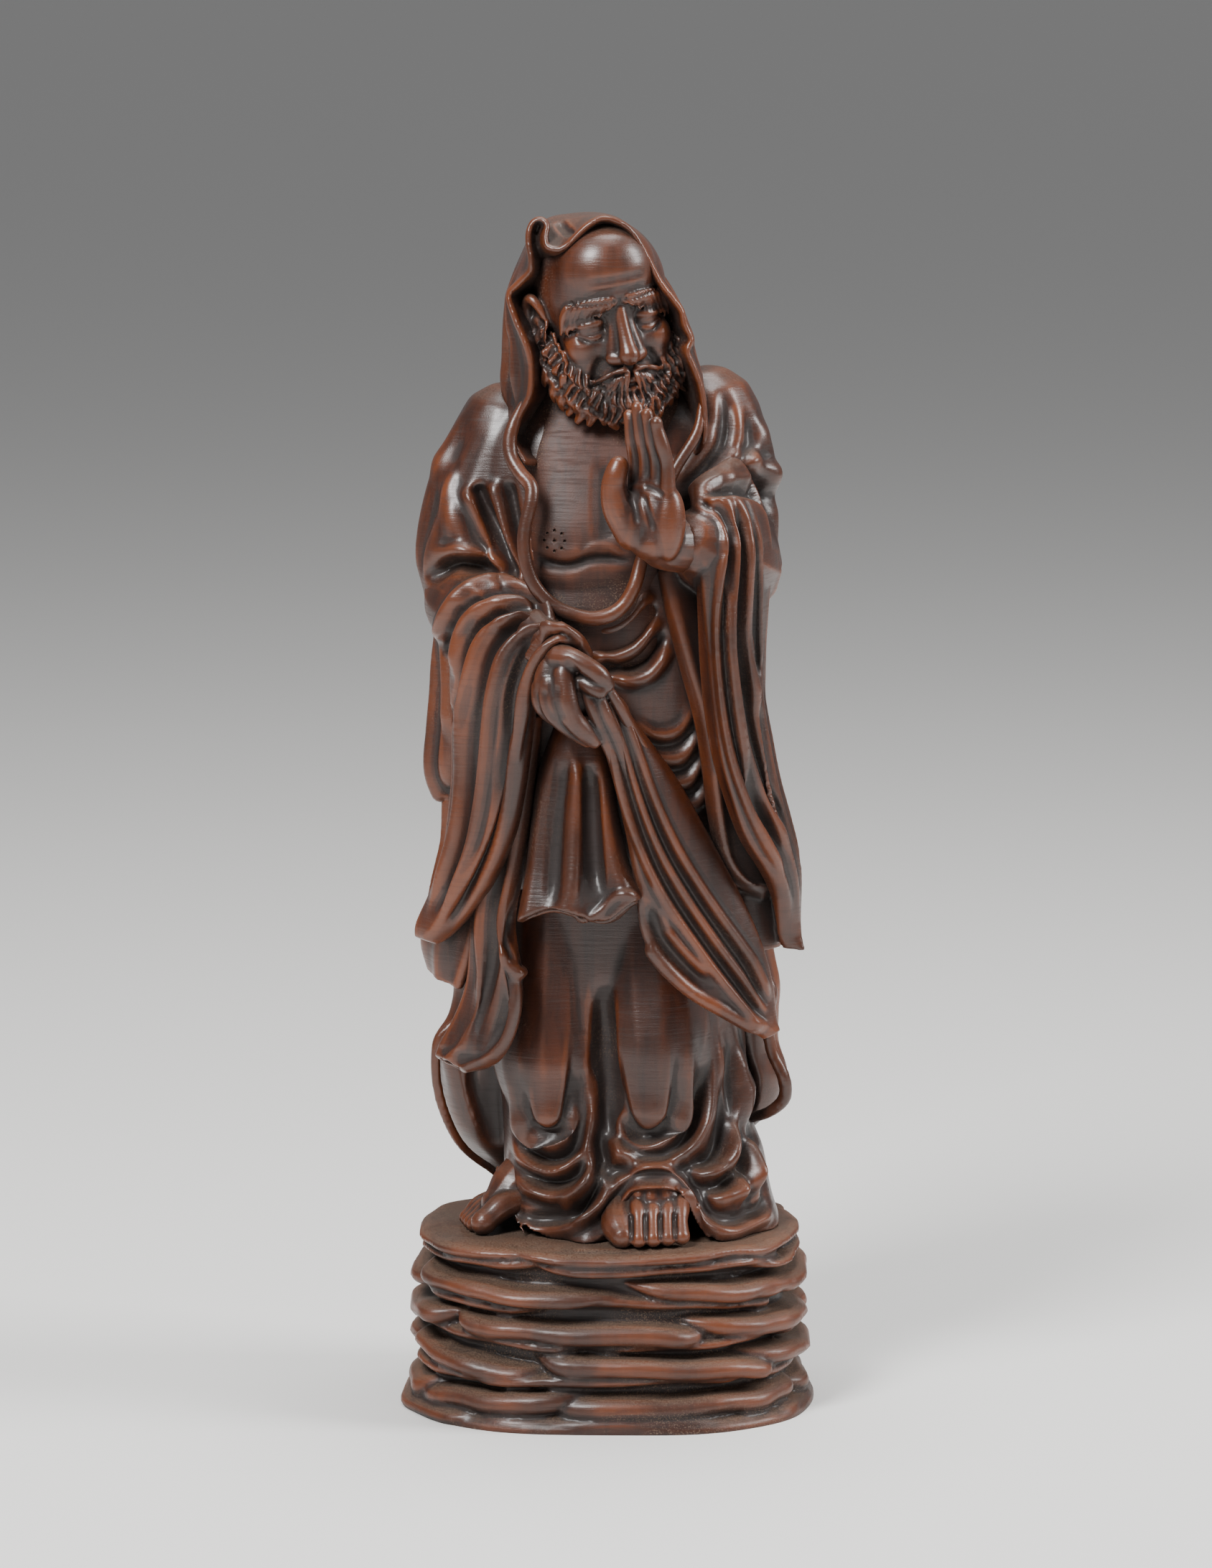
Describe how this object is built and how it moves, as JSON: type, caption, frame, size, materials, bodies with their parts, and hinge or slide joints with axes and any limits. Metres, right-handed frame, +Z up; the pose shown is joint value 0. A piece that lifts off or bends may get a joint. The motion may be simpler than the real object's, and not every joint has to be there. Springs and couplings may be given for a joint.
{
  "type": "bodhidharma statue",
  "caption": "Standing bearded monk in a hooded robe, a hand raised before the chest, carved in dark polished wood together with a ledge of layered rock.",
  "frame": {"origin": "middle of the rock ledge's flat underside", "axes": "+Z up along the figure, -Y the way the figure faces, +X to the right of someone who looks at its front"},
  "size_m": [0.1031, 0.0833, 0.2963],
  "materials": {
    "wood": "polished"
  },
  "bodies": {
    "root": {"statue": "wood"}
  },
  "joints": []
}
